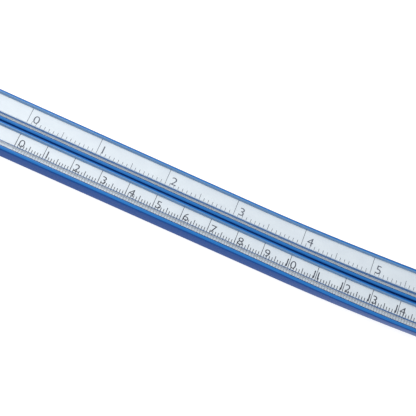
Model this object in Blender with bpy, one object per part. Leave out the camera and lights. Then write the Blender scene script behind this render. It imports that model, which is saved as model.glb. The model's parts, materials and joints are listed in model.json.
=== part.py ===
"""A flexible curve rule: two printed strips held in a soft blue jacket on a lead core.

The real rule bends smoothly in the plane it lies in and stays where it is put. Here it is a chain
of short straight links on upright hinges. Each link carries its own length of jacket, core, spring
bands and printed strips. X runs along the scales, the inch rail is at the back (+Y), the centimetre
rail is at the front (-Y), and the table is z = 0. The origin is the middle of the root link's base.
"""

import math

import bmesh
import bpy
from mathutils import Matrix, Vector

# Chain of links. The lengths are measured along the middle of the rule, from its left end.
LINK_COUNT = 9
ROOT_LINK = 3
LINK_PITCH = 0.040
LAST_LINK_LENGTH = 0.025
BEND_LIMIT = math.radians(20.0)

# Cross-section, from the table upwards.
BASE_THICKNESS = 0.0007
WEB_THICKNESS = 0.0008
LIP_THICKNESS = 0.0006

# Cross-section, from the back edge to the front edge.
INCH_BACK_WALL = 0.0009
INCH_BACK_LIP = 0.0015
INCH_FRONT_WALL = 0.0011
INCH_FRONT_LIP = 0.0025
INCH_BEVEL_RUN = 0.0014
INCH_CORNER = 0.0010
GUTTER_WIDTH = 0.0003
GUTTER_DEPTH = 0.0018
CM_BACK_WALL = 0.0008
CM_BACK_LIP = 0.0013
CM_FRONT_WALL = 0.0012
CM_FRONT_LIP = 0.0025
CM_BEVEL_RUN = 0.0008
CM_CORNER = 0.0010
BACK_CORNER = 0.0004
BASE_CORNER = 0.0004

# What the jacket holds.
INCH_STRIP_WIDTH = 0.0081
CM_STRIP_WIDTH = 0.0073
STRIP_THICKNESS = 0.0004
LEAD_WIDTH = 0.0050
LEAD_HEIGHT = 0.0016
BAND_THICKNESS = 0.0005
CAP_THICKNESS = 0.0020
SPIGOT_LENGTH = 0.0060
SPIGOT_OVERLAP = 0.0005
CLEARANCE = 0.0003

# How the rule lies: straight, then a slow bend to the back and a slow roll onto its front edge.
BEND_LEAD = 0.005
BEND_RADIUS = 0.850
ROLL_MOST = math.radians(13.0)
ROLL_RISE = 0.080
ROLL_HOLD = 0.025
ROLL_FALL = 0.100

ARC_STEPS = 4

# Sizes that follow from those above.
TUNNEL_WIDTH = LEAD_WIDTH + 2 * BAND_THICKNESS + 4 * CLEARANCE
TUNNEL_HEIGHT = LEAD_HEIGHT + 2 * CLEARANCE
TUNNEL_FLOOR = BASE_THICKNESS
CHANNEL_FLOOR = TUNNEL_FLOOR + TUNNEL_HEIGHT + WEB_THICKNESS
CHANNEL_ROOF = CHANNEL_FLOOR + STRIP_THICKNESS + 2 * CLEARANCE
HEIGHT = CHANNEL_ROOF + LIP_THICKNESS
INCH_RAIL_WIDTH = INCH_BACK_WALL + INCH_STRIP_WIDTH + 2 * CLEARANCE + INCH_FRONT_WALL
CM_RAIL_WIDTH = CM_BACK_WALL + CM_STRIP_WIDTH + 2 * CLEARANCE + CM_FRONT_WALL
WIDTH = INCH_RAIL_WIDTH + GUTTER_WIDTH + CM_RAIL_WIDTH
BACK = WIDTH / 2
FRONT = -WIDTH / 2
INCH_FRONT = BACK - INCH_RAIL_WIDTH
CM_BACK = INCH_FRONT - GUTTER_WIDTH
ROOT_MIDDLE = (ROOT_LINK - 0.5) * LINK_PITCH
BEND_START = ROOT_LINK * LINK_PITCH - BEND_LEAD
ROLL_FALL_START = ROOT_MIDDLE + ROLL_RISE + ROLL_HOLD
# Half of each gap, so that neighbours still clear each other at a full bend on the rolled stretch.
JACKET_REACH = WIDTH / 2 + HEIGHT * math.sin(ROLL_MOST)
JACKET_INSET = JACKET_REACH * math.tan(BEND_LIMIT / 2) + CLEARANCE / 2
CORE_REACH = TUNNEL_WIDTH / 2 + HEIGHT * math.sin(ROLL_MOST)
CORE_INSET = CORE_REACH * math.tan(BEND_LIMIT / 2) + CLEARANCE / 2
CAP_INSET = CAP_THICKNESS + CLEARANCE
SPIGOT_INSET = CAP_THICKNESS + SPIGOT_LENGTH + CLEARANCE

# Turns a flat outline, drawn as (y, z), so that it stands across the rule and is extruded along X.
ACROSS = Matrix(((0, 0, 1, 0), (1, 0, 0, 0), (0, 1, 0, 0), (0, 0, 0, 1)))


def clear_scene():
    for obj in list(bpy.data.objects):
        bpy.data.objects.remove(obj, do_unlink=True)


def new_collection(name):
    collection = bpy.data.collections.new(name)
    bpy.context.scene.collection.children.link(collection)
    return collection


def new_material(name, colour, roughness, metallic=0.0):
    material = bpy.data.materials.new(name)
    material.use_nodes = True
    shader = material.node_tree.nodes["Principled BSDF"]
    shader.inputs["Base Color"].default_value = (*colour, 1.0)
    shader.inputs["Roughness"].default_value = roughness
    shader.inputs["Metallic"].default_value = metallic
    return material


def smooth_step(value):
    value = min(max(value, 0.0), 1.0)
    return value * value * (3 - 2 * value)


def heading_at(along):
    """The rule's direction, as a turn about +Z, at a length from its left end."""
    return max(0.0, along - BEND_START) / BEND_RADIUS


def roll_at(along):
    """How far the rule is rolled up onto its front edge."""
    risen = smooth_step((along - ROOT_MIDDLE) / ROLL_RISE)
    fallen = smooth_step((along - ROLL_FALL_START) / ROLL_FALL)
    return ROLL_MOST * risen * (1 - fallen)


def middle_at(along):
    """The point of the middle line on the table: straight, then an arc towards +Y."""
    turn = heading_at(along)
    x = min(along, BEND_START) - ROOT_MIDDLE + BEND_RADIUS * math.sin(turn)
    y = BEND_RADIUS * (1 - math.cos(turn))
    return Vector((x, y, 0))


def station(along):
    """The frame of the cross-section: its place, its heading, and its roll about the front edge."""
    to_edge = Matrix.Translation((0, FRONT, 0))
    roll = to_edge @ Matrix.Rotation(roll_at(along), 4, "X") @ to_edge.inverted()
    return Matrix.Translation(middle_at(along)) @ Matrix.Rotation(heading_at(along), 4, "Z") @ roll


def corner(y, z, radius, first):
    """A quarter circle, anticlockwise from the angle first, that rounds a corner centred at y, z."""
    angles = [math.radians(first + 90 * step / ARC_STEPS) for step in range(ARC_STEPS + 1)]
    return [(y + radius * math.cos(angle), z + radius * math.sin(angle)) for angle in angles]


def rectangle(y_low, y_high, z_low, z_high):
    return [(y_low, z_low), (y_high, z_low), (y_high, z_high), (y_low, z_high)]


def rail_top(back, back_wall, back_lip, strip, front_lip, bevel_run, front_wall, front_corner):
    """One rail's upper outline, from its back face over both lips of its channel to its front."""
    channel_back = back - back_wall
    channel_front = channel_back - strip - 2 * CLEARANCE
    bevel = channel_front + front_lip
    front = channel_front - front_wall
    return [
        *corner(back - BACK_CORNER, HEIGHT - BACK_CORNER, BACK_CORNER, 0),
        (back - back_lip, HEIGHT),
        (back - back_lip, CHANNEL_ROOF),
        (channel_back, CHANNEL_ROOF),
        (channel_back, CHANNEL_FLOOR),
        (channel_front, CHANNEL_FLOOR),
        (channel_front, CHANNEL_ROOF),
        (bevel, CHANNEL_ROOF),
        (bevel - bevel_run, HEIGHT),
        *corner(front + front_corner, HEIGHT - front_corner, front_corner, 90),
    ]


def base_outline():
    """The two rounded lower corners, from the front to the back."""
    return [
        *corner(FRONT + BASE_CORNER, BASE_CORNER, BASE_CORNER, 180),
        *corner(BACK - BASE_CORNER, BASE_CORNER, BASE_CORNER, 270),
    ]


def jacket_outline():
    inch_rail = rail_top(
        BACK,
        INCH_BACK_WALL,
        INCH_BACK_LIP,
        INCH_STRIP_WIDTH,
        INCH_FRONT_LIP,
        INCH_BEVEL_RUN,
        INCH_FRONT_WALL,
        INCH_CORNER,
    )
    cm_rail = rail_top(
        CM_BACK,
        CM_BACK_WALL,
        CM_BACK_LIP,
        CM_STRIP_WIDTH,
        CM_FRONT_LIP,
        CM_BEVEL_RUN,
        CM_FRONT_WALL,
        CM_CORNER,
    )
    gutter = (INCH_FRONT - GUTTER_WIDTH / 2, HEIGHT - GUTTER_DEPTH)
    return [*base_outline(), *inch_rail, gutter, *cm_rail]


def cap_outline():
    return [
        *base_outline(),
        *corner(BACK - BACK_CORNER, HEIGHT - BACK_CORNER, BACK_CORNER, 0),
        *corner(FRONT + CM_CORNER, HEIGHT - CM_CORNER, CM_CORNER, 90),
    ]


def strip_outline(channel_back, width):
    back = channel_back - CLEARANCE
    floor = CHANNEL_FLOOR + CLEARANCE
    return rectangle(back - width, back, floor, floor + STRIP_THICKNESS)


def core_outlines():
    """The lead bar and its two spring bands, side by side in the tunnel."""
    floor = TUNNEL_FLOOR + CLEARANCE
    roof = floor + LEAD_HEIGHT
    half_lead = LEAD_WIDTH / 2
    band_inner = half_lead + CLEARANCE
    band_outer = band_inner + BAND_THICKNESS
    return {
        "lead_core": rectangle(-half_lead, half_lead, floor, roof),
        "spring_band_front": rectangle(-band_outer, -band_inner, floor, roof),
        "spring_band_back": rectangle(band_inner, band_outer, floor, roof),
    }


def prism(name, outlines, start, end, material, collection):
    """Flat outlines, the first outside and any others its holes, extruded from start to end in X."""
    curve = bpy.data.curves.new(name, "CURVE")
    curve.dimensions = "2D"
    curve.fill_mode = "BOTH"
    curve.extrude = (end - start) / 2
    for outline in outlines:
        spline = curve.splines.new("POLY")
        spline.points.add(len(outline) - 1)
        for point, (y, z) in zip(spline.points, outline):
            point.co = (y, z, 0, 1)
        spline.use_cyclic_u = True
    curve.materials.append(material)
    obj = bpy.data.objects.new(name, curve)
    collection.objects.link(obj)
    return obj


def place(obj, pivot, pivot_matrix, matrix):
    """Hangs an object on its link's pivot without moving it from its place in the world."""
    obj.parent = pivot
    obj.matrix_basis = pivot_matrix.inverted() @ matrix


def link_span(number):
    """The lengths from the left end at which a link starts and ends."""
    start = (number - 1) * LINK_PITCH
    length = LAST_LINK_LENGTH if number == LINK_COUNT else LINK_PITCH
    return start, start + length


def link_order():
    """The root first, then each link after the neighbour that carries it."""
    return [ROOT_LINK, *range(ROOT_LINK + 1, LINK_COUNT + 1), *range(ROOT_LINK - 1, 0, -1)]


def carrier_of(number):
    if number == ROOT_LINK:
        return None
    return number - 1 if number > ROOT_LINK else number + 1


def hinge_before(number):
    """How far along the rule the hinge is that joins a link to the neighbour that carries it."""
    start, end = link_span(number)
    if number == ROOT_LINK:
        return ROOT_MIDDLE
    return start if number > ROOT_LINK else end


def build_pivots(helpers):
    """An empty for each link, on the upright axis of its hinge, carried by its neighbour's."""
    pivots = {}
    for number in link_order():
        pivot = bpy.data.objects.new(f"pivot_{number}", None)
        pivot.empty_display_size = HEIGHT
        helpers.objects.link(pivot)
        matrix = Matrix.Translation(middle_at(hinge_before(number)))
        carrier = carrier_of(number)
        if carrier:
            place(pivot, pivots[carrier][0], pivots[carrier][1], matrix)
        else:
            pivot.matrix_basis = matrix
        pivots[number] = (pivot, matrix)
    return pivots


def piece_shapes(materials):
    """What each link carries: outlines, material, and the insets at a hinge and at a capped end."""
    tunnel = rectangle(
        -TUNNEL_WIDTH / 2, TUNNEL_WIDTH / 2, TUNNEL_FLOOR, TUNNEL_FLOOR + TUNNEL_HEIGHT
    )
    inch_strip = strip_outline(BACK - INCH_BACK_WALL, INCH_STRIP_WIDTH)
    cm_strip = strip_outline(CM_BACK - CM_BACK_WALL, CM_STRIP_WIDTH)
    shapes = {
        "jacket": ([jacket_outline(), tunnel], "jacket", JACKET_INSET, CAP_INSET),
        "inch_scale": ([inch_strip], "printed_strip", JACKET_INSET, CAP_INSET),
        "cm_scale": ([cm_strip], "printed_strip", JACKET_INSET, CAP_INSET),
    }
    core_materials = ("lead", "spring_steel", "spring_steel")
    for (name, outline), material in zip(core_outlines().items(), core_materials):
        shapes[name] = ([outline], material, CORE_INSET, SPIGOT_INSET)
    return {name: (out, materials[mat], *insets) for name, (out, mat, *insets) in shapes.items()}


def build_link(number, shapes, pivot, pivot_matrix, parts):
    start, end = link_span(number)
    middle = (start + end) / 2
    for name, (outlines, material, hinge_inset, cap_inset) in shapes.items():
        low = start + (cap_inset if number == 1 else hinge_inset)
        high = end - (cap_inset if number == LINK_COUNT else hinge_inset)
        piece = prism(f"{name}_{number}", outlines, low, high, material, parts)
        along = Matrix.Translation(((low + high) / 2 - middle, 0, 0))
        place(piece, pivot, pivot_matrix, station(middle) @ along @ ACROSS)


def mesh_from(obj, name, collection):
    """A new mesh object with the evaluated shape of a curve, its caps welded; the curve goes."""
    graph = bpy.context.evaluated_depsgraph_get()
    mesh = bpy.data.meshes.new_from_object(obj.evaluated_get(graph))
    mesh.materials.clear()
    mesh.materials.append(obj.data.materials[0])
    bpy.data.objects.remove(obj, do_unlink=True)
    solid = bpy.data.objects.new(name, mesh)
    collection.objects.link(solid)
    weld(mesh)
    return solid


def weld(mesh):
    shape = bmesh.new()
    shape.from_mesh(mesh)
    bmesh.ops.remove_doubles(shape, verts=shape.verts, dist=1e-6)
    shape.to_mesh(mesh)
    shape.free()


def build_cap(name, number, side, material, pivot, pivot_matrix, parts, helpers):
    """A moulded end cap: a plate over the end of the jacket, and a spigot pushed into the tunnel."""
    start, end = link_span(number)
    outer = start if side < 0 else end
    blank = prism("cap_blank", [cap_outline()], 0, CAP_THICKNESS, material, parts)
    plate = mesh_from(blank, name, parts)
    spigot_length = SPIGOT_LENGTH + SPIGOT_OVERLAP
    bpy.ops.mesh.primitive_cube_add(size=1)
    spigot = bpy.context.object
    spigot.name = f"{name}_spigot"
    spigot.data.transform(
        Matrix.Diagonal((TUNNEL_WIDTH - 2 * CLEARANCE, LEAD_HEIGHT, spigot_length, 1))
    )
    spigot.hide_render = True
    spigot.display_type = "WIRE"
    for collection in list(spigot.users_collection):
        collection.objects.unlink(spigot)
    helpers.objects.link(spigot)
    frame = station((start + end) / 2)
    plate_x = outer - (start + end) / 2 - side * CAP_THICKNESS / 2
    spigot_x = plate_x - side * (CAP_THICKNESS / 2 + SPIGOT_LENGTH / 2 - SPIGOT_OVERLAP / 2)
    spigot_z = TUNNEL_FLOOR + TUNNEL_HEIGHT / 2
    place(plate, pivot, pivot_matrix, frame @ Matrix.Translation((plate_x, 0, 0)) @ ACROSS)
    spigot_place = Matrix.Translation((spigot_x, 0, spigot_z))
    place(spigot, pivot, pivot_matrix, frame @ spigot_place @ ACROSS)
    union = plate.modifiers.new("spigot", "BOOLEAN")
    union.operation = "UNION"
    union.solver = "EXACT"
    union.object = spigot


def build_materials():
    return {
        "jacket": new_material("jacket", (0.06, 0.19, 0.58), 0.30),
        "printed_strip": new_material("printed_strip", (0.78, 0.84, 0.90), 0.45),
        "lead": new_material("lead", (0.28, 0.29, 0.31), 0.60, 1.0),
        "spring_steel": new_material("spring_steel", (0.55, 0.56, 0.58), 0.30, 1.0),
        "end_cap": new_material("end_cap", (0.05, 0.15, 0.48), 0.35),
    }


def main():
    clear_scene()
    parts = new_collection("flexible_curve_rule")
    helpers = new_collection("pivots_and_cutters")
    materials = build_materials()
    pivots = build_pivots(helpers)
    shapes = piece_shapes(materials)
    for number in range(1, LINK_COUNT + 1):
        build_link(number, shapes, *pivots[number], parts)
    caps = (("end_cap_left", 1, -1), ("end_cap_right", LINK_COUNT, 1))
    for name, number, side in caps:
        build_cap(name, number, side, materials["end_cap"], *pivots[number], parts, helpers)


main()
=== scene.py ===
# %% [markdown]
# # A flexible curve rule, piece by piece
# A draughtsman's flexible rule is a soft blue extrusion with two channels on top. A printed strip of
# inches lies in the back channel and one of centimetres in the front channel. A lead bar inside lets
# the rule be bent by hand and keeps it there. This lesson makes each of those pieces in Blender,
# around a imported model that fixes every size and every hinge.

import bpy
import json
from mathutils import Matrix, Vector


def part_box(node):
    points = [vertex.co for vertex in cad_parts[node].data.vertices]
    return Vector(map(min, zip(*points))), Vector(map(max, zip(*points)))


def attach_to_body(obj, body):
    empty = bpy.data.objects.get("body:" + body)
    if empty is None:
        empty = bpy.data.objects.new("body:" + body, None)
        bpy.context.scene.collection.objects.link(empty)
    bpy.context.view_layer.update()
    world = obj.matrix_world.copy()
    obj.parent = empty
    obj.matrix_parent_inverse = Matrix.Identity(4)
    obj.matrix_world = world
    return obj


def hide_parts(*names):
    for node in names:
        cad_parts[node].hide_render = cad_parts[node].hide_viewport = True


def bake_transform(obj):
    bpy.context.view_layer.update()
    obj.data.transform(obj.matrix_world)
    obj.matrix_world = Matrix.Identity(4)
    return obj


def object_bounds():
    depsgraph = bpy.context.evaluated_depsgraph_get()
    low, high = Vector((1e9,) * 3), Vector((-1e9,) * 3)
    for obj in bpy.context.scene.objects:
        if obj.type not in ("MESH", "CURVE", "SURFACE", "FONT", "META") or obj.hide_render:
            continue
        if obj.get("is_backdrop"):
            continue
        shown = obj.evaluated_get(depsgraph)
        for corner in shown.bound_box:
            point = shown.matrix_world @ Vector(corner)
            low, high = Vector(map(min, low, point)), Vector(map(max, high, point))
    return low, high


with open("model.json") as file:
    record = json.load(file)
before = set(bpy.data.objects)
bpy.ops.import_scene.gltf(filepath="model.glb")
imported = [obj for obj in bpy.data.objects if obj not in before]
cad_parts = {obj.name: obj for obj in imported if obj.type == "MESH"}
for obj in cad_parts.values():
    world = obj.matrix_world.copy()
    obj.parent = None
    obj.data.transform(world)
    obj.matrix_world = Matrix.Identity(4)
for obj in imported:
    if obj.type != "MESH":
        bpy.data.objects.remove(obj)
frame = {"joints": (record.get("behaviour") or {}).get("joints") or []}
cad_low, cad_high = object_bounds()

# %% [markdown]
# ## Sizes
# The third link lies straight and flat with the origin in the middle of its base, so its boxes give
# the cross-section directly. Only what a box can't tell, such as a lip or a corner, is written here.
# Lengths along the rule are counted from its left end. All sizes are in metres.

# %% Read the cross-section from the frame
import json
import math

import bmesh
import bpy
from mathutils import Color, Matrix, Quaternion, Vector

jacket_low, jacket_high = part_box("jacket_3")
inch_low, inch_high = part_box("inch_scale_3")
cm_low, cm_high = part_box("cm_scale_3")
FRONT, BACK, HEIGHT = jacket_low.y, jacket_high.y, jacket_high.z
STRIP_TOP = inch_high.z
CLEARANCE = 0.0003
CHANNEL_FLOOR = inch_low.z - CLEARANCE
print(f"section {1000 * (BACK - FRONT):.1f} x {1000 * HEIGHT:.1f} mm, strips at {1000 * STRIP_TOP:.1f} mm")

# %% Name the lengths along the rule
LEFT_TO_ORIGIN = -cad_low.x
LENGTH = 0.345
ZERO_MARK = 0.020
hinges = {joint["name"]: Vector(joint["pos_m"]) for joint in frame["joints"]}
PITCH = hinges["bend_2"].x - hinges["bend_1"].x
CAP = 0.0020
CAP_INSET = CAP + CLEARANCE
CORE_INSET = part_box("lead_core_1")[0].x + LEFT_TO_ORIGIN
ZONE_COUNT = len(frame["joints"])
print(f"hinges every {1000 * PITCH:.0f} mm, core starts {1000 * CORE_INSET:.1f} mm from the end")

# %% [markdown]
# ## The line that the rule lies on
# At rest the rule is straight for its first third, then it bends slowly to the back, and it rolls a
# little onto its front edge on the way. Bending each piece by hand would never make them agree. A
# Curve modifier does it for all of them: every piece is modelled straight along X, and one guide
# curve carries it to its place. The guide's tilt gives the roll.

# %% Say where the middle line goes
BEND_START = 0.115
BEND_RADIUS = 0.850
ROLL_MOST = math.radians(13.0)
ROLL_RISE = 0.080
ROLL_HOLD = 0.025
ROLL_FALL = 0.100
ROLL_FALL_START = LEFT_TO_ORIGIN + ROLL_RISE + ROLL_HOLD


def smooth_step(value):
    """Rises from 0 to 1 and is level at both ends."""
    value = min(max(value, 0.0), 1.0)
    return value * value * (3 - 2 * value)


def roll_at(along):
    """How far the section has rolled onto its front edge at a length along the rule."""
    risen = smooth_step((along - LEFT_TO_ORIGIN) / ROLL_RISE)
    fallen = smooth_step((along - ROLL_FALL_START) / ROLL_FALL)
    return ROLL_MOST * risen * (1 - fallen)


def heading_at(along):
    """How far the rule has turned to the back at a length along it."""
    return max(0.0, along - BEND_START) / BEND_RADIUS


def middle_at(along):
    """The middle of the base, as it would be without the roll."""
    turn = heading_at(along)
    x = min(along, BEND_START) - LEFT_TO_ORIGIN + BEND_RADIUS * math.sin(turn)
    return Vector((x, BEND_RADIUS * (1 - math.cos(turn)), 0))


def guide_point(along):
    """The middle of the base once the section has rolled about its front lower edge."""
    roll = roll_at(along)
    shift = Vector((0, -FRONT * (math.cos(roll) - 1), -FRONT * math.sin(roll)))
    shift.rotate(Matrix.Rotation(heading_at(along), 3, "Z"))
    return middle_at(along) + shift


gap = max((middle_at(PITCH * (number + 1)) - place).length for number, place in enumerate(hinges.values()))
print(f"the line passes within {1000 * gap:.3f} mm of every hinge")

# %% Draw the guide curve
GUIDE_STEP = 0.0025
guide_count = round(LENGTH / GUIDE_STEP) + 1
guide_data = bpy.data.curves.new("resting_line", "CURVE")
guide_data.dimensions = "3D"
guide_data.twist_mode = "Z_UP"
guide_line = guide_data.splines.new("POLY")
guide_line.points.add(guide_count - 1)
for number, point in enumerate(guide_line.points):
    point.co = (*guide_point(number * GUIDE_STEP), 1)
    point.tilt = roll_at(number * GUIDE_STEP)
guide = bpy.data.objects.new("resting_line", guide_data)
bpy.context.scene.collection.objects.link(guide)
guide.hide_render = True
print("guide points:", guide_count)

# %% [markdown]
# ## Small tools for every piece
# Operators work on whatever is selected, so each helper first selects exactly one piece. `lay` does
# the last steps for all of them: it stores where each point was on the straight piece, which the
# materials need so that their grain follows the bend, and then it applies the Curve modifier.

# %% Select one piece and apply its modifiers
MERGE_WITHIN = 1e-7


def only(piece):
    bpy.ops.object.select_all(action="DESELECT")
    piece.select_set(True)
    bpy.context.view_layer.objects.active = piece


def apply_modifier(piece, name):
    only(piece)
    bpy.ops.object.modifier_apply(modifier=name)


def close_normals(piece):
    only(piece)
    bpy.ops.object.mode_set(mode="EDIT")
    bpy.ops.mesh.select_all(action="SELECT")
    bpy.ops.mesh.remove_doubles(threshold=MERGE_WITHIN)
    bpy.ops.mesh.normals_make_consistent(inside=False)
    bpy.ops.object.mode_set(mode="OBJECT")


print("points nearer than", MERGE_WITHIN, "m are merged before normals are turned outwards")

# %% Lay a piece on the guide
SHARP_ANGLE = math.radians(32)


def lay(piece):
    """Shades the straight piece, remembers its straight places, and bends it onto the guide."""
    only(piece)
    bpy.ops.object.shade_smooth_by_angle(angle=SHARP_ANGLE)
    straight = piece.data.attributes.new("straight_place", "FLOAT_VECTOR", "POINT")
    places = [value for vertex in piece.data.vertices for value in vertex.co]
    straight.data.foreach_set("vector", places)
    bend = piece.modifiers.new("lie", "CURVE")
    bend.object = guide
    bend.deform_axis = "POS_X"
    apply_modifier(piece, "lie")


print(f"edges sharper than {math.degrees(SHARP_ANGLE):.0f} degrees stay crisp")

# %% [markdown]
# ## Zones
# The real jacket has no joints, so it must look unbroken at every bend. Each hinge gets a zone that
# runs from the middle of one link to the middle of the next, where the next zone takes over.


def zone_span(zone, inset):
    """Where a zone's pieces start and end along the rule; the outer ones stop short of the caps."""
    start = inset if zone == 1 else (zone - 0.5) * PITCH
    end = LENGTH - inset if zone == ZONE_COUNT else (zone + 0.5) * PITCH
    return start, end


def attach(piece, zone, slot, *cad_kinds):
    """Bakes a piece's place into its mesh and lets it stand for the CAD solids it covers, which it hides.
    """
    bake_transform(piece)
    links = [zone, zone + 1] if zone == ZONE_COUNT else [zone]
    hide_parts(*[f"{kind}_{link}" for kind in cad_kinds for link in links])


print("zones:", [tuple(round(1000 * x, 1) for x in zone_span(z, CAP_INSET)) for z in (1, 2, ZONE_COUNT)])

# %% [markdown]
# ## Shared material effects
# Two effects serve several finishes, so each is a node group. An extruded plastic shows faint streaks
# along its length, where the die dragged it. Handled plastic has fine dull specks. Both read the
# straight places, stretched to the right scale, so that the grain follows the bent rule.

# %% Helpers for node groups
def new_group(name, inputs):
    group = bpy.data.node_groups.new(name, "ShaderNodeTree")
    group.interface.new_socket("Place", in_out="INPUT", socket_type="NodeSocketVector")
    for label, value in inputs.items():
        socket = group.interface.new_socket(label, in_out="INPUT", socket_type="NodeSocketFloat")
        socket.default_value = value
    group.interface.new_socket("Mask", in_out="OUTPUT", socket_type="NodeSocketFloat")
    return group, group.nodes.new("NodeGroupInput"), group.nodes.new("NodeGroupOutput")


def noise_mask(group, vector, limits, detail, output):
    """A noise read at a vector, spread so that the limits become 0 and 1."""
    noise = group.nodes.new("ShaderNodeTexNoise")
    noise.inputs["Scale"].default_value = 1.0
    noise.inputs["Detail"].default_value = detail
    spread = group.nodes.new("ShaderNodeMapRange")
    spread.inputs["From Min"].default_value = limits[0]
    spread.inputs["From Max"].default_value = limits[1]
    group.links.new(vector, noise.inputs["Vector"])
    group.links.new(noise.outputs["Fac"], spread.inputs["Value"])
    group.links.new(spread.outputs["Result"], output)


print("node groups so far:", len(bpy.data.node_groups))

# %% Build the streaks and the specks
STREAKS_ALONG = 40.0
STREAKS_ACROSS = 2500.0
STREAK_LIMITS = (0.3, 0.7)
STREAK_DETAIL = 3.0
SPECKS_PER_METRE = 1500.0
SPECK_LIMITS = (0.55, 0.75)
SPECK_DETAIL = 4.0


def build_streaks():
    rates = {"Per Metre Along": STREAKS_ALONG, "Per Metre Across": STREAKS_ACROSS}
    group, entry, leave = new_group("extrusion_streaks", rates)
    scale = group.nodes.new("ShaderNodeCombineXYZ")
    multiply = group.nodes.new("ShaderNodeVectorMath")
    multiply.operation = "MULTIPLY"
    group.links.new(entry.outputs["Per Metre Along"], scale.inputs["X"])
    group.links.new(entry.outputs["Per Metre Across"], scale.inputs["Y"])
    group.links.new(entry.outputs["Per Metre Across"], scale.inputs["Z"])
    group.links.new(entry.outputs["Place"], multiply.inputs[0])
    group.links.new(scale.outputs["Vector"], multiply.inputs[1])
    noise_mask(group, multiply.outputs["Vector"], STREAK_LIMITS, STREAK_DETAIL, leave.inputs["Mask"])
    return group


def build_specks():
    group, entry, leave = new_group("handling_specks", {"Per Metre": SPECKS_PER_METRE})
    multiply = group.nodes.new("ShaderNodeVectorMath")
    multiply.operation = "SCALE"
    group.links.new(entry.outputs["Place"], multiply.inputs[0])
    group.links.new(entry.outputs["Per Metre"], multiply.inputs["Scale"])
    noise_mask(group, multiply.outputs["Vector"], SPECK_LIMITS, SPECK_DETAIL, leave.inputs["Mask"])
    return group


STREAKS = build_streaks()
SPECKS = build_specks()
print("node groups:", STREAKS.name, "and", SPECKS.name)

# %% [markdown]
# ## Finishes
# Every finish is a Principled shader. Its two tones are mixed by the streaks, and the specks make the
# shine a little uneven. Vinyl is paler where it is thin, so the thin back lips are paler. Some light
# and shade is painted into finishes of their own: a painted highlight on the round edges of the
# walls, a darker painted reflection of the jacket's blue on the bevels of the clear lips, and painted
# shade on their roots beside the wall.

# %% Turn a colour code into a shader's colour
def tint(code):
    """A colour from its usual six-digit code, as the linear values that a shader needs."""
    parts = [part / 255 for part in bytes.fromhex(code)]
    return (*Color(parts).from_srgb_to_scene_linear(), 1.0)


print("mid grey is", round(tint("808080")[0], 3), "to a shader")


# %% Helpers for finishes
def place_group(material, group, **values):
    """One of the shared effects inside a material, reading the straight places."""
    tree = material.node_tree
    source = tree.nodes.new("ShaderNodeAttribute")
    source.attribute_name = "straight_place"
    effect = tree.nodes.new("ShaderNodeGroup")
    effect.node_tree = group
    tree.links.new(source.outputs["Vector"], effect.inputs["Place"])
    for label, value in values.items():
        effect.inputs[label.replace("_", " ")].default_value = value
    return effect.outputs["Mask"]


def mixed_tone(material, mask, first, second):
    """Two tones, mixed by a mask."""
    mix = material.node_tree.nodes.new("ShaderNodeMix")
    mix.data_type = "RGBA"
    mix.inputs["A"].default_value = tint(first)
    mix.inputs["B"].default_value = tint(second)
    material.node_tree.links.new(mask, mix.inputs["Factor"])
    return mix.outputs["Result"]


def ranged(material, mask, low, high):
    """A mask turned into values from low to high."""
    spread = material.node_tree.nodes.new("ShaderNodeMapRange")
    spread.inputs["To Min"].default_value = low
    spread.inputs["To Max"].default_value = high
    material.node_tree.links.new(mask, spread.inputs["Value"])
    return spread.outputs["Result"]


print("materials so far:", len(bpy.data.materials))

# %% Compose a finish
RELIEF_STRENGTH = 0.25


def new_finish(name, tones, roughness, relief=0, along=STREAKS_ALONG, across=STREAKS_ACROSS, **settings):
    """A Principled finish with two streaked tones, an uneven shine and a relief of a given depth."""
    material = bpy.data.materials.new(name)
    material.use_nodes = True
    tree = material.node_tree
    shader = tree.nodes["Principled BSDF"]
    streaks = place_group(material, STREAKS, Per_Metre_Along=along, Per_Metre_Across=across)
    specks = place_group(material, SPECKS)
    tree.links.new(mixed_tone(material, streaks, *tones), shader.inputs["Base Color"])
    tree.links.new(ranged(material, specks, *roughness), shader.inputs["Roughness"])
    for label, value in settings.items():
        shader.inputs[label.replace("_", " ")].default_value = value
    if relief:
        bump = tree.nodes.new("ShaderNodeBump")
        bump.inputs["Strength"].default_value = RELIEF_STRENGTH
        bump.inputs["Distance"].default_value = relief
        tree.links.new(streaks, bump.inputs["Height"])
        tree.links.new(bump.outputs["Normal"], shader.inputs["Normal"])
    return material


print(f"reliefs are shown at {100 * RELIEF_STRENGTH:.0f}% strength")

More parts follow.
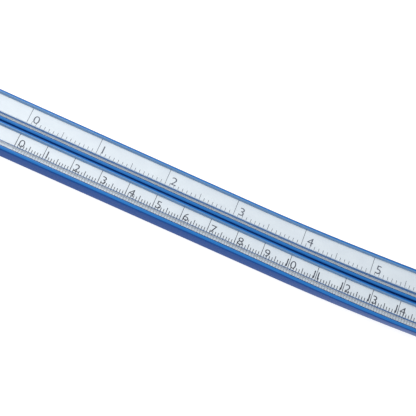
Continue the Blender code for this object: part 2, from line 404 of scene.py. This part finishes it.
# %% Mix the finishes
FINE = {"relief": 0.00001}
COARSE = {"relief": 0.00003}
SOFT_SHINE = {"Specular_IOR_Level": 0.12}
FILM_GRAIN = {"along": 180.0, "across": 260.0}
INK_GRAIN = {"along": 900.0, "across": 900.0}
MOULD_GRAIN = {"along": 1200.0, "across": 1200.0}
FINISHES = {
    "jacket": new_finish("blue_vinyl", ("0E4086", "134890"), (0.28, 0.34), **FINE, **SOFT_SHINE),
    # painted highlight: a brighter blue where the round edges of the walls catch the light
    "edge_highlight": new_finish("painted_highlight_blue_vinyl", ("226CB4", "2B74BC"), (0.22, 0.30), **SOFT_SHINE),
    "thin_lip": new_finish("thin_blue_vinyl", ("5E87B5", "6A93BF"), (0.22, 0.34), **FINE),
    "clear_lip": new_finish("clear_vinyl", ("DCE8F4", "E6F0FA"), (0.12, 0.24), Alpha=0.28),
    # painted reflection: the jacket's blue seen in the bevels of the clear lips
    "bevel_reflection": new_finish("clear_vinyl_bevel_reflection", ("3C5D8B", "446796"), (0.16, 0.28), **SOFT_SHINE),
    # painted shade: a dark blue band at the roots of the clear lips beside the wall
    "root_shade": new_finish("clear_vinyl_root_shade", ("1D3B69", "234472"), (0.20, 0.32), **SOFT_SHINE),
    "film": new_finish("printed_film", ("CBD4DC", "D1DAE1"), (0.38, 0.52), **FINE, **FILM_GRAIN),
    "ink": new_finish("grey_ink", ("2E3442", "3A4150"), (0.50, 0.62), **INK_GRAIN),
    "pale_ink": new_finish("pale_grey_ink", ("4A5160", "565D6C"), (0.50, 0.62), **INK_GRAIN),
    "lead": new_finish("dull_lead", ("5A5C61", "696B70"), (0.50, 0.72), **COARSE, Metallic=1.0),
    "steel": new_finish("spring_steel", ("9B9DA1", "ACAEB2"), (0.22, 0.38), **FINE, Metallic=1.0),
    "cap": new_finish("moulded_cap", ("1C4789", "204E93"), (0.30, 0.42), **MOULD_GRAIN),
}
print("finishes:", ", ".join(FINISHES))


# %% Dress and paint a piece
def dress(piece, *names):
    """Gives a piece its finishes. The first covers all of it, and paint puts on the others."""
    for name in names:
        piece.data.materials.append(FINISHES[name])


def paint(piece, number, test):
    """Puts finish number 1, 2 or so on the faces whose centres pass a test."""
    for face in piece.data.polygons:
        if test(face.center):
            face.material_index = number


print("a piece takes any of", len(FINISHES), "finishes")

# %% [markdown]
# ## Outlines
# The jacket, the lips and the strips have one cross-section all the way along, as extrusions do. A
# closed outline drawn once across the rule and swept along X is the natural way to make them. The
# sweep is a Screw modifier that turns through no angle: it only climbs, and its steps give the rings
# that a bend needs.

# %% Draw round corners
EDGE_ROUND = 0.00012
ARC_STEPS = 6


def corner(y, z, radius, first):
    """A quarter circle, anticlockwise from the angle first in degrees, round the centre y, z."""
    angles = [math.radians(first + 90 * step / ARC_STEPS) for step in range(ARC_STEPS + 1)]
    return [(y + radius * math.cos(angle), z + radius * math.sin(angle)) for angle in angles]


def rectangle(y_low, y_high, z_low, z_high, radius):
    """A closed outline with four equally rounded corners, anticlockwise."""
    return [
        *corner(y_low + radius, z_low + radius, radius, 180),
        *corner(y_high - radius, z_low + radius, radius, 270),
        *corner(y_high - radius, z_high - radius, radius, 0),
        *corner(y_low + radius, z_high - radius, radius, 90),
    ]


print("a quarter circle has", ARC_STEPS + 1, "points")


# %% Draw closed loops across the rule
def draw_loops(name, loops, x):
    """Closed loops across the rule at x, as a mesh of edges."""
    data = bpy.data.curves.new(name, "CURVE")
    data.dimensions = "3D"
    for loop in loops:
        spline = data.splines.new("POLY")
        spline.points.add(len(loop) - 1)
        for point, (y, z) in zip(spline.points, loop):
            point.co = (x, y, z, 1)
        spline.use_cyclic_u = True
    drawing = bpy.data.objects.new(name, data)
    bpy.context.scene.collection.objects.link(drawing)
    only(drawing)
    bpy.ops.object.convert(target="MESH")
    return bpy.context.object


print("drawings so far:", len(bpy.data.curves))

# %% Sweep the loops along the rule
RING_STEP = 0.002
ROUNDING = 1e-6


def fill_end(piece, x):
    """Closes the open end that lies at x, round a hole if the outline has one."""
    only(piece)
    bpy.ops.object.mode_set(mode="EDIT")
    bpy.ops.mesh.select_all(action="DESELECT")
    shape = bmesh.from_edit_mesh(piece.data)
    for edge in shape.edges:
        edge.select_set(edge.is_boundary and all(abs(vertex.co.x - x) < ROUNDING for vertex in edge.verts))
    bmesh.update_edit_mesh(piece.data)
    bpy.ops.mesh.fill(use_beauty=True)
    bpy.ops.object.mode_set(mode="OBJECT")


def sweep(name, loops, start, end):
    piece = draw_loops(name, loops, start)
    rings = max(1, round((end - start) / RING_STEP))
    screw = piece.modifiers.new("length", "SCREW")
    screw.axis = "X"
    screw.angle = 0.0
    screw.screw_offset = end - start
    screw.steps = screw.render_steps = rings
    screw.use_smooth_shade = False
    apply_modifier(piece, "length")
    fill_end(piece, start)
    fill_end(piece, end)
    close_normals(piece)
    return piece


print(f"rings every {1000 * RING_STEP:.0f} mm")

# %% [markdown]
# ## Jacket
# One blue extrusion holds everything together. Each rail has a thin lip that hooks over the back edge
# of its strip and a wall in front of it, and a narrow gutter parts the two rails. The back lips taper
# down to the strip, so that they throw little shadow on it. The outline is drawn once, with the tunnel
# for the lead as a hole in it.

# %% Name the jacket's own sizes
BASE_CORNER = 0.0004
BACK_CORNER = 0.0004
LIT_EDGE = 0.0008
TAPER = 0.0003
LIP_BOTTOM = STRIP_TOP + 0.00005
GUTTER_WIDTH = 0.0003
GUTTER_DEPTH = 0.0018
inch_rail = {
    "back": BACK,
    "channel": (inch_low.y - CLEARANCE, inch_high.y + CLEARANCE),
    "back_lip": 0.0013,
    "front_lip": 0.0025,
    "bevel": 0.0015,
    "clear_foot": 0.37,
    "wall": 0.0011,
    "corner": 0.0010,
}
cm_rail = {
    "back": inch_rail["channel"][0] - inch_rail["wall"] - GUTTER_WIDTH,
    "channel": (cm_low.y - CLEARANCE, cm_high.y + CLEARANCE),
    "back_lip": 0.0013,
    "front_lip": 0.0025,
    "bevel": 0.0008,
    "clear_foot": 0.15,
    "wall": 0.0012,
    "corner": 0.0010,
}
RAILS = {"inch": inch_rail, "cm": cm_rail}
print("front wall ends at", round(1000 * (cm_rail["channel"][0] - cm_rail["wall"]), 2), "mm")


# %% Draw the jacket's outline
def rail_outline(rail):
    """A rail from its back face, over the back lip and through the channel, to its front corner."""
    front_of_channel, back_of_channel = rail["channel"]
    lip = rail["back"] - rail["back_lip"]
    front = front_of_channel - rail["wall"]
    return [
        *corner(rail["back"] - BACK_CORNER, HEIGHT - BACK_CORNER, BACK_CORNER, 0),
        (rail["back"] - LIT_EDGE, HEIGHT),
        *corner(lip + TAPER + EDGE_ROUND, HEIGHT - EDGE_ROUND, EDGE_ROUND, 90),
        *corner(lip + EDGE_ROUND, LIP_BOTTOM + EDGE_ROUND, EDGE_ROUND, 180),
        (back_of_channel, LIP_BOTTOM),
        (back_of_channel, CHANNEL_FLOOR),
        (front_of_channel, CHANNEL_FLOOR),
        (front_of_channel, HEIGHT),
        *corner(front + rail["corner"], HEIGHT - rail["corner"], rail["corner"], 90),
    ]


def base_outline():
    return [
        *corner(FRONT + BASE_CORNER, BASE_CORNER, BASE_CORNER, 180),
        *corner(BACK - BASE_CORNER, BASE_CORNER, BASE_CORNER, 270),
    ]


def tunnel_outline():
    band_low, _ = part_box("spring_band_front_3")
    _, band_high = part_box("spring_band_back_3")
    low_y, high_y = band_low.y - CLEARANCE, band_high.y + CLEARANCE
    return rectangle(low_y, high_y, band_low.z - CLEARANCE, band_high.z + CLEARANCE, BASE_CORNER)


gutter_y = cm_rail["back"] + GUTTER_WIDTH / 2
jacket_outline = [
    *base_outline(),
    *rail_outline(inch_rail),
    (gutter_y, HEIGHT - GUTTER_DEPTH),
    *rail_outline(cm_rail),
]
print("jacket outline:", len(jacket_outline), "points")


# %% Find the jacket's thin lips and the round edges that carry the painted highlight
# The painted highlight covers this upper share of each round wall.
LIT_SHARE = 0.3
HAIR = EDGE_ROUND / 10


def on_back_lip(centre):
    """True on the thin lips over the back edge of each strip."""
    for rail in RAILS.values():
        lip = rail["back"] - rail["back_lip"]
        if lip - EDGE_ROUND < centre.y < rail["back"] - LIT_EDGE and centre.z > STRIP_TOP:
            return True
    return False


def on_round_edge(centre):
    """True where the painted highlight goes: where a wall turns over at the top, and not on the channel's
    own front face.
    """
    for rail in RAILS.values():
        channel_front = rail["channel"][0]
        on_wall = channel_front - rail["wall"] < centre.y < channel_front - HAIR
        if on_wall and centre.z > HEIGHT - LIT_SHARE * rail["corner"]:
            return True
        if rail["back"] - LIT_EDGE < centre.y < rail["back"] - BACK_CORNER and centre.z > STRIP_TOP:
            return True
    return False


print(f"the upper {100 * LIT_SHARE:.0f}% of each round wall is lit")

# %% Sweep the jacket, zone by zone
for zone in range(1, ZONE_COUNT + 1):
    jacket = sweep(f"jacket_{zone}_vinyl", [jacket_outline, tunnel_outline()], *zone_span(zone, CAP_INSET))
    dress(jacket, "jacket", "thin_lip", "edge_highlight")
    paint(jacket, 1, on_back_lip)
    # painted highlight on the round edges
    paint(jacket, 2, on_round_edge)
    lay(jacket)
    attach(jacket, zone, "jacket", "jacket")
print("jacket:", len(jacket.data.polygons), "faces in the last zone")

# %% [markdown]
# ## Clear lips
# Over the front edge of each strip the lip is clear, so that the graduations read right down to the
# edge. It nearly rests on the strip. It is a flat band with a long bevel down to the open part of the
# strip. The upper part of the bevel is painted blue, as a painted reflection of the jacket's blue, and
# the root beside the wall is painted dark blue, as painted shade. The foot of the bevel, a share of it
# called clear_foot, is too thin to show that reflection and stays clear. The lip could be glass, but
# thin clear vinyl hardly bends light, so a part-transparent finish is enough and renders faster.

# %% Draw the clear lips and find their parts
HAIRLINE = 0.00002
# ROOT is the width of the band beside the wall that carries the painted shade
ROOT = 0.0002


def lip_outline(rail):
    wall = rail["channel"][0] + HAIRLINE
    foot = rail["channel"][0] + rail["front_lip"]
    climb = HEIGHT - LIP_BOTTOM
    return [
        (wall, LIP_BOTTOM),
        (foot, LIP_BOTTOM),
        (foot - rail["clear_foot"] * rail["bevel"], LIP_BOTTOM + rail["clear_foot"] * climb),
        (foot - rail["bevel"], HEIGHT),
        (wall + ROOT, HEIGHT),
        (wall, HEIGHT),
    ]


def bevel_test(rail):
    """A test for the upper part of the bevel, which carries the painted reflection of the jacket's blue.
    """
    foot = rail["channel"][0] + rail["front_lip"]
    top = foot - rail["bevel"]
    edge = foot - rail["clear_foot"] * rail["bevel"]
    return lambda centre: top < centre.y < edge and centre.z > LIP_BOTTOM + EDGE_ROUND


def root_test(rail):
    """A test for the narrow band beside the wall, which carries the painted shade."""
    return lambda centre: centre.y < rail["channel"][0] + ROOT and centre.z > LIP_BOTTOM + EDGE_ROUND


print(f"clear lips start {1e6 * (LIP_BOTTOM - STRIP_TOP):.0f} microns above the strips")

# %% Sweep the clear lips
for zone in range(1, ZONE_COUNT + 1):
    for name, rail in RAILS.items():
        lip = sweep(f"{name}_lip_{zone}", [lip_outline(rail)], *zone_span(zone, CAP_INSET))
        dress(lip, "clear_lip", "bevel_reflection", "root_shade")
        # painted reflection of the jacket's blue on the upper bevel
        paint(lip, 1, bevel_test(rail))
        # painted shade at the root beside the wall
        paint(lip, 2, root_test(rail))
        lay(lip)
        attach(lip, zone, "clear_lip")
print("clear lips:", 2 * ZONE_COUNT)

# %% [markdown]
# ## Printed strips
# The strips are flat film, cut square and slipped into the channels from one end. They need only a
# slim rounded outline, but the same rings as the jacket, or they would cut through it in a bend.

# %% Sweep the strips
STRIP_ROUND = EDGE_ROUND / 2
STRIP_BOXES = {"inch": (inch_low, inch_high), "cm": (cm_low, cm_high)}
for zone in range(1, ZONE_COUNT + 1):
    for name, (low, high) in STRIP_BOXES.items():
        outline = rectangle(low.y, high.y, low.z, high.z, STRIP_ROUND)
        strip = sweep(f"{name}_strip_{zone}", [outline], *zone_span(zone, CAP_INSET))
        dress(strip, "film")
        lay(strip)
        attach(strip, zone, "printed_strip", f"{name}_scale")
print("printed strips:", 2 * ZONE_COUNT)

# %% [markdown]
# ## Graduations
# Screen-printed ink stands a hair above the film. The centimetre marks start at the front edge of
# their strip, and the inch marks a margin behind it, under the bevel. The short marks come first,
# then a longer piece is added to every fifth or eighth, and a piece to the back edge at each whole
# centimetre or inch. So each set is one thin bar and an Array modifier, and no two bars lie on each
# other.

# %% Print a row of bars
INK_DEPTH = 0.000015
INK_LIFT = 0.000003


def bar_row(first, count, pitch, width, y_low, y_high):
    """Count upright bars, a pitch apart, the first centred at first, from y_low to y_high."""
    centre = (first, (y_low + y_high) / 2, STRIP_TOP + INK_LIFT + INK_DEPTH / 2)
    bpy.ops.object.select_all(action="DESELECT")
    bpy.ops.mesh.primitive_cube_add(size=1, location=centre)
    bar = bpy.context.object
    bar.scale = (width, y_high - y_low, INK_DEPTH)
    bpy.ops.object.transform_apply(location=True, rotation=False, scale=True)
    row = bar.modifiers.new("row", "ARRAY")
    row.count = count
    row.use_relative_offset = False
    row.use_constant_offset = True
    row.constant_offset_displace = (pitch, 0, 0)
    apply_modifier(bar, "row")
    return bar


def marks_in(zone, pitch, last):
    """The number of the first mark in a zone and how many there are, from 0 to the last mark."""
    start, end = zone_span(zone, 0)
    low = max(0, math.ceil((start - ZERO_MARK) / pitch - ROUNDING))
    high = min(last, math.ceil((end - ZERO_MARK) / pitch - ROUNDING) - 1)
    return low, high - low + 1


print(f"ink stands {1e6 * (INK_LIFT + INK_DEPTH):.0f} microns above the strips")

# %% [markdown]
# ## Numerals
# Blender's own font gives plain numerals. Each digit is typed once, made a mesh, scaled by the height
# of a nought and kept in a case, as a printer keeps type. A numeral on the rule is a copy from it.

# %% Cast the type
TYPE_WEIGHT = -0.006
TYPE_STEPS = 4
TYPE_DEPTH = 0.02


def cast_digit(character):
    bpy.ops.object.select_all(action="DESELECT")
    bpy.ops.object.text_add()
    text = bpy.context.object
    text.data.body = character
    text.data.resolution_u = TYPE_STEPS
    text.data.offset = TYPE_WEIGHT
    text.data.extrude = TYPE_DEPTH / 2
    bpy.ops.object.convert(target="MESH")
    digit = bpy.context.object
    digit.name = f"type_{character}"
    close_normals(digit)
    return digit


def box_of(piece):
    corners = [vertex.co for vertex in piece.data.vertices]
    low = Vector(min(point[axis] for point in corners) for axis in range(3))
    high = Vector(max(point[axis] for point in corners) for axis in range(3))
    return low, high


type_case = {character: cast_digit(character) for character in "0123456789"}
nought_low, nought_high = box_of(type_case["0"])
type_height = nought_high.y - nought_low.y
for digit in type_case.values():
    low, high = box_of(digit)
    digit.data.transform(Matrix.Translation((-low.x, 0, -low.z)))
    digit["width"] = (high.x - low.x) / type_height
print("a nought is", round(type_case["0"]["width"], 2), "as wide as it is tall")


# %% Set a numeral
def set_digit(character, left, baseline, height, widen):
    """One digit with its lower left corner on the strip, and its own mesh."""
    source = type_case[character]
    digit = source.copy()
    digit.data = source.data.copy()
    bpy.context.scene.collection.objects.link(digit)
    size = height / type_height
    shrink = Matrix.Diagonal((size * widen, size, INK_DEPTH / TYPE_DEPTH, 1))
    place = Matrix.Translation((left, baseline, STRIP_TOP + INK_LIFT))
    digit.data.transform(place @ shrink)
    return digit


def digit_width(character, height, widen):
    return type_case[character]["width"] * height * widen


print("digits in the case:", len(type_case))

# %% [markdown]
# ## Scales
# The centimetre scale has marks for millimetres and half centimetres, and its two-digit numerals
# straddle their line. The inch scale is printed paler, in sixteenths, with the numeral well to the
# right of the line. Where marks end is counted from the front edge of the strip.

# %% Name the printing sizes
cm_print = {
    "finish": "ink",
    "unit": 0.010,
    "parts": 10,
    "middle_every": 5,
    "last": 30,
    "strip": (cm_low.y, cm_high.y),
    "margin": 0.0,
    "short": 0.0034,
    "middle": 0.0043,
    "bar": 0.00025,
    "line": 0.00019,
    "height": 0.00285,
    "baseline": cm_low.y + 0.0026,
    "widen": 1.12,
    "gap": 0.0009,
    "straddles": True,
}
inch_print = {
    "finish": "pale_ink",
    "unit": 0.0254,
    "parts": 16,
    "middle_every": 8,
    "last": 12,
    "strip": (inch_low.y, inch_high.y),
    "margin": 0.0010,
    "short": 0.0033,
    "middle": 0.0044,
    "bar": 0.00016,
    "line": 0.00017,
    "height": 0.0030,
    "baseline": inch_low.y + 0.0029,
    "widen": 1.12,
    "gap": 0.0016,
    "straddles": False,
}
SCALES = {"cm": cm_print, "inch": inch_print}
print("scales:", ", ".join(f"{style['last']} {name}" for name, style in SCALES.items()))


# %% Print the bars of one zone
def print_bars(zone, style):
    """The short bars, the longer middle ones and the full lines of a scale inside one zone."""
    unit = style["unit"]
    part = unit / style["parts"]
    front, back = style["strip"]
    levels = [
        (part, style["bar"], front + style["margin"], front + style["short"]),
        (part * style["middle_every"], style["bar"], front + style["short"], front + style["middle"]),
        (unit, style["line"], front + style["middle"], back),
    ]
    made = []
    for pitch, width, y_low, y_high in levels:
        first, count = marks_in(zone, pitch, round(style["last"] * unit / pitch))
        if count > 0:
            made.append(bar_row(ZERO_MARK + first * pitch, count, pitch, width, y_low, y_high))
    return made


print("bars, mm wide:", {name: round(1000 * style["bar"], 2) for name, style in SCALES.items()})

# %% Print the numerals of one zone
STRADDLE = 0.0005


def numeral_places(number, style):
    """Each digit of a numeral with the place of its left side."""
    line = ZERO_MARK + number * style["unit"]
    characters = str(number)
    widths = [digit_width(each, style["height"], style["widen"]) for each in characters]
    if len(characters) == 2 and style["straddles"]:
        return [(characters[0], line - STRADDLE - widths[0]), (characters[1], line + STRADDLE)]
    places, left = [], line + style["gap"]
    for each, width in zip(characters, widths):
        places.append((each, left))
        left += width + STRADDLE
    return places


def print_numerals(zone, style):
    """The digits of a scale that start inside one zone."""
    start, end = zone_span(zone, 0)
    made = []
    for number in range(style["last"] + 1):
        for character, left in numeral_places(number, style):
            if start <= left < end:
                made.append(set_digit(character, left, style["baseline"], style["height"], style["widen"]))
    return made


print("gap after a line, mm:", {name: round(1000 * style["gap"], 2) for name, style in SCALES.items()})


# %% Join each zone's print and lay it
def print_zone(name, zone, style):
    pieces = print_bars(zone, style) + print_numerals(zone, style)
    only(pieces[0])
    for piece in pieces:
        piece.select_set(True)
    bpy.ops.object.join()
    marks = bpy.context.object
    marks.name = f"{name}_marks_{zone}"
    marks.data.materials.clear()
    dress(marks, style["finish"])
    lay(marks)
    attach(marks, zone, "ink")
    return marks


for zone in range(1, ZONE_COUNT + 1):
    for name, style in SCALES.items():
        marks = print_zone(name, zone, style)
print("last inch zone:", len(marks.data.polygons), "faces")
for digit in type_case.values():
    bpy.data.objects.remove(digit)

# %% [markdown]
# ## Core
# The lead bar holds the bend, and a steel band on each side keeps it fair. They hide in the tunnel,
# but they bend with the jacket, so they are swept and laid in the same zones.

# %% Sweep the lead and the bands
CORE_KINDS = {
    "lead_core": ("lead", "lead"),
    "spring_band_front": ("steel", "spring_steel"),
    "spring_band_back": ("steel", "spring_steel"),
}
for zone in range(1, ZONE_COUNT + 1):
    for kind, (finish, slot) in CORE_KINDS.items():
        low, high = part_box(f"{kind}_3")
        outline = rectangle(low.y, high.y, low.z, high.z, EDGE_ROUND)
        core = sweep(f"{kind}_bar_{zone}", [outline], *zone_span(zone, CORE_INSET))
        dress(core, finish)
        lay(core)
        attach(core, zone, slot, kind)
print("core bars:", len(CORE_KINDS) * ZONE_COUNT)

# %% [markdown]
# ## End caps
# A moulded plate closes each end, and its spigot is pressed into the tunnel. The plate's rim is
# softened by a Bevel modifier before the spigot is joined on, because a Boolean leaves edges that a
# bevel handles badly.

# %% Model an end cap
CAP_ROUND = 0.00035
RIM_STEPS = 3
RIM_ANGLE = math.radians(50)
SPIGOT_OVERLAP = 0.0005


def cap_outline():
    wall_corner = cm_rail["corner"]
    return [
        *base_outline(),
        *corner(BACK - BACK_CORNER, HEIGHT - BACK_CORNER, BACK_CORNER, 0),
        *corner(FRONT + wall_corner, HEIGHT - wall_corner, wall_corner, 90),
    ]


def model_cap(name, outer, inward):
    """A cap with its outer face at a length along the rule; inward is 1 at the left end."""
    span = sorted((outer, outer + inward * CAP))
    plate = sweep(name, [cap_outline()], *span)
    rim = plate.modifiers.new("rim", "BEVEL")
    rim.width = CAP_ROUND
    rim.segments = RIM_STEPS
    rim.limit_method = "ANGLE"
    rim.angle_limit = RIM_ANGLE
    apply_modifier(plate, "rim")
    lead_low, lead_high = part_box("lead_core_3")
    band_low, band_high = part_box("spring_band_front_3")[0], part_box("spring_band_back_3")[1]
    outline = rectangle(band_low.y, band_high.y, lead_low.z, lead_high.z, BASE_CORNER)
    spigot_end = outer + inward * (CORE_INSET - CLEARANCE)
    spigot_span = sorted((outer + inward * (CAP - SPIGOT_OVERLAP), spigot_end))
    spigot = sweep(f"{name}_spigot", [outline], *spigot_span)
    union = plate.modifiers.new("spigot", "BOOLEAN")
    union.operation = "UNION"
    union.object = spigot
    apply_modifier(plate, "spigot")
    bpy.data.objects.remove(spigot)
    return plate


print(f"cap plates are {1000 * CAP:.0f} mm thick")

# %% Close both ends
for side, outer, inward, link in (("left", 0.0, 1, 1), ("right", LENGTH, -1, ZONE_COUNT + 1)):
    cap = model_cap(f"cap_{side}", outer, inward)
    dress(cap, "cap")
    lay(cap)
    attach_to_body(cap, f"link_{link}")
    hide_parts(f"end_cap_{side}")
print("end caps:", len(cap.data.polygons), "faces each")

# %% [markdown]
# ## Stage
# The rule lies on a plain pale table under a bright even sky, with one broad soft lamp above and to
# the left, so that the printed faces are brighter at that end. The table glows a little, as a light
# table does, and that washes the soft shadows out. The camera looks down at it from the front, turned
# on its own axis, so that the rule runs downhill through the view.

# %% Table
TABLE_SIZE = 4.0
TABLE_DROP = 0.0001
TABLE_LOOKS = {
    "Base Color": tint("A8A9AA"),
    "Roughness": 0.9,
    "Emission Color": tint("FFFFFF"),
    "Emission Strength": 0.8,
}
bpy.ops.object.select_all(action="DESELECT")
bpy.ops.mesh.primitive_plane_add(size=TABLE_SIZE, location=(0, 0, -TABLE_DROP))
floor = bpy.context.object
floor.name = "table"
pale = bpy.data.materials.new("pale_table")
pale.use_nodes = True
for label, value in TABLE_LOOKS.items():
    pale.node_tree.nodes["Principled BSDF"].inputs[label].default_value = value
floor.data.materials.append(pale)
floor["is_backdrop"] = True
print("table:", TABLE_SIZE, "m square")

# %% Sky and lamp
SKY_STRENGTH = 0.82
LAMP_PLACE = Vector((-0.18, 0.10, 0.33))
LAMP_AIM = Vector((-0.05, 0, 0))
LAMP_SIZE = 0.3
LAMP_POWER = 0.68
world = bpy.data.worlds.new("even_sky")
bpy.context.scene.world = world
world.use_nodes = True
world.node_tree.nodes["Background"].inputs["Color"].default_value = tint("FFFFFF")
world.node_tree.nodes["Background"].inputs["Strength"].default_value = SKY_STRENGTH
lamp_data = bpy.data.lights.new("broad_lamp", "AREA")
lamp_data.shape = "DISK"
lamp_data.size = LAMP_SIZE
lamp_data.energy = LAMP_POWER
lamp = bpy.data.objects.new("broad_lamp", lamp_data)
lamp.location = LAMP_PLACE
lamp.rotation_euler = (LAMP_AIM - LAMP_PLACE).to_track_quat("-Z", "Y").to_euler()
bpy.context.scene.collection.objects.link(lamp)
bpy.context.scene.view_settings.view_transform = "Standard"
print("lamps:", len(bpy.data.lights))

# %% Camera
ELEVATION = math.radians(61.5)
AZIMUTH = math.radians(-5.8)
CAMERA_ROLL = math.radians(29.2)
DISTANCE = 0.4288
CAMERA_AIM = Vector((-0.0126, 0.0011, HEIGHT))
LENS = 110.0
SENSOR_WIDTH = 36.0
NEAREST = 0.01
backwards = Vector((0, -math.cos(ELEVATION), math.sin(ELEVATION)))
backwards.rotate(Matrix.Rotation(AZIMUTH, 3, "Z"))
camera_data = bpy.data.cameras.new("camera")
camera_data.lens = LENS
camera_data.sensor_width = SENSOR_WIDTH
camera_data.clip_start = NEAREST
camera = bpy.data.objects.new("camera", camera_data)
camera.rotation_mode = "QUATERNION"
camera.location = CAMERA_AIM + backwards * DISTANCE
camera.rotation_quaternion = (-backwards).to_track_quat("-Z", "Y") @ Quaternion((0, 0, 1), CAMERA_ROLL)
bpy.context.scene.collection.objects.link(camera)
bpy.context.scene.camera = camera
print("camera at", [round(value, 3) for value in camera.location])

# %% [markdown]
# ## Size of what is shown
# The looks must not change the size, so the box of what is shown is printed.

# %% Print the size of what is shown
low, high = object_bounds()
print("visual box, mm:", [round(1000 * value, 1) for value in (*low, *high)])
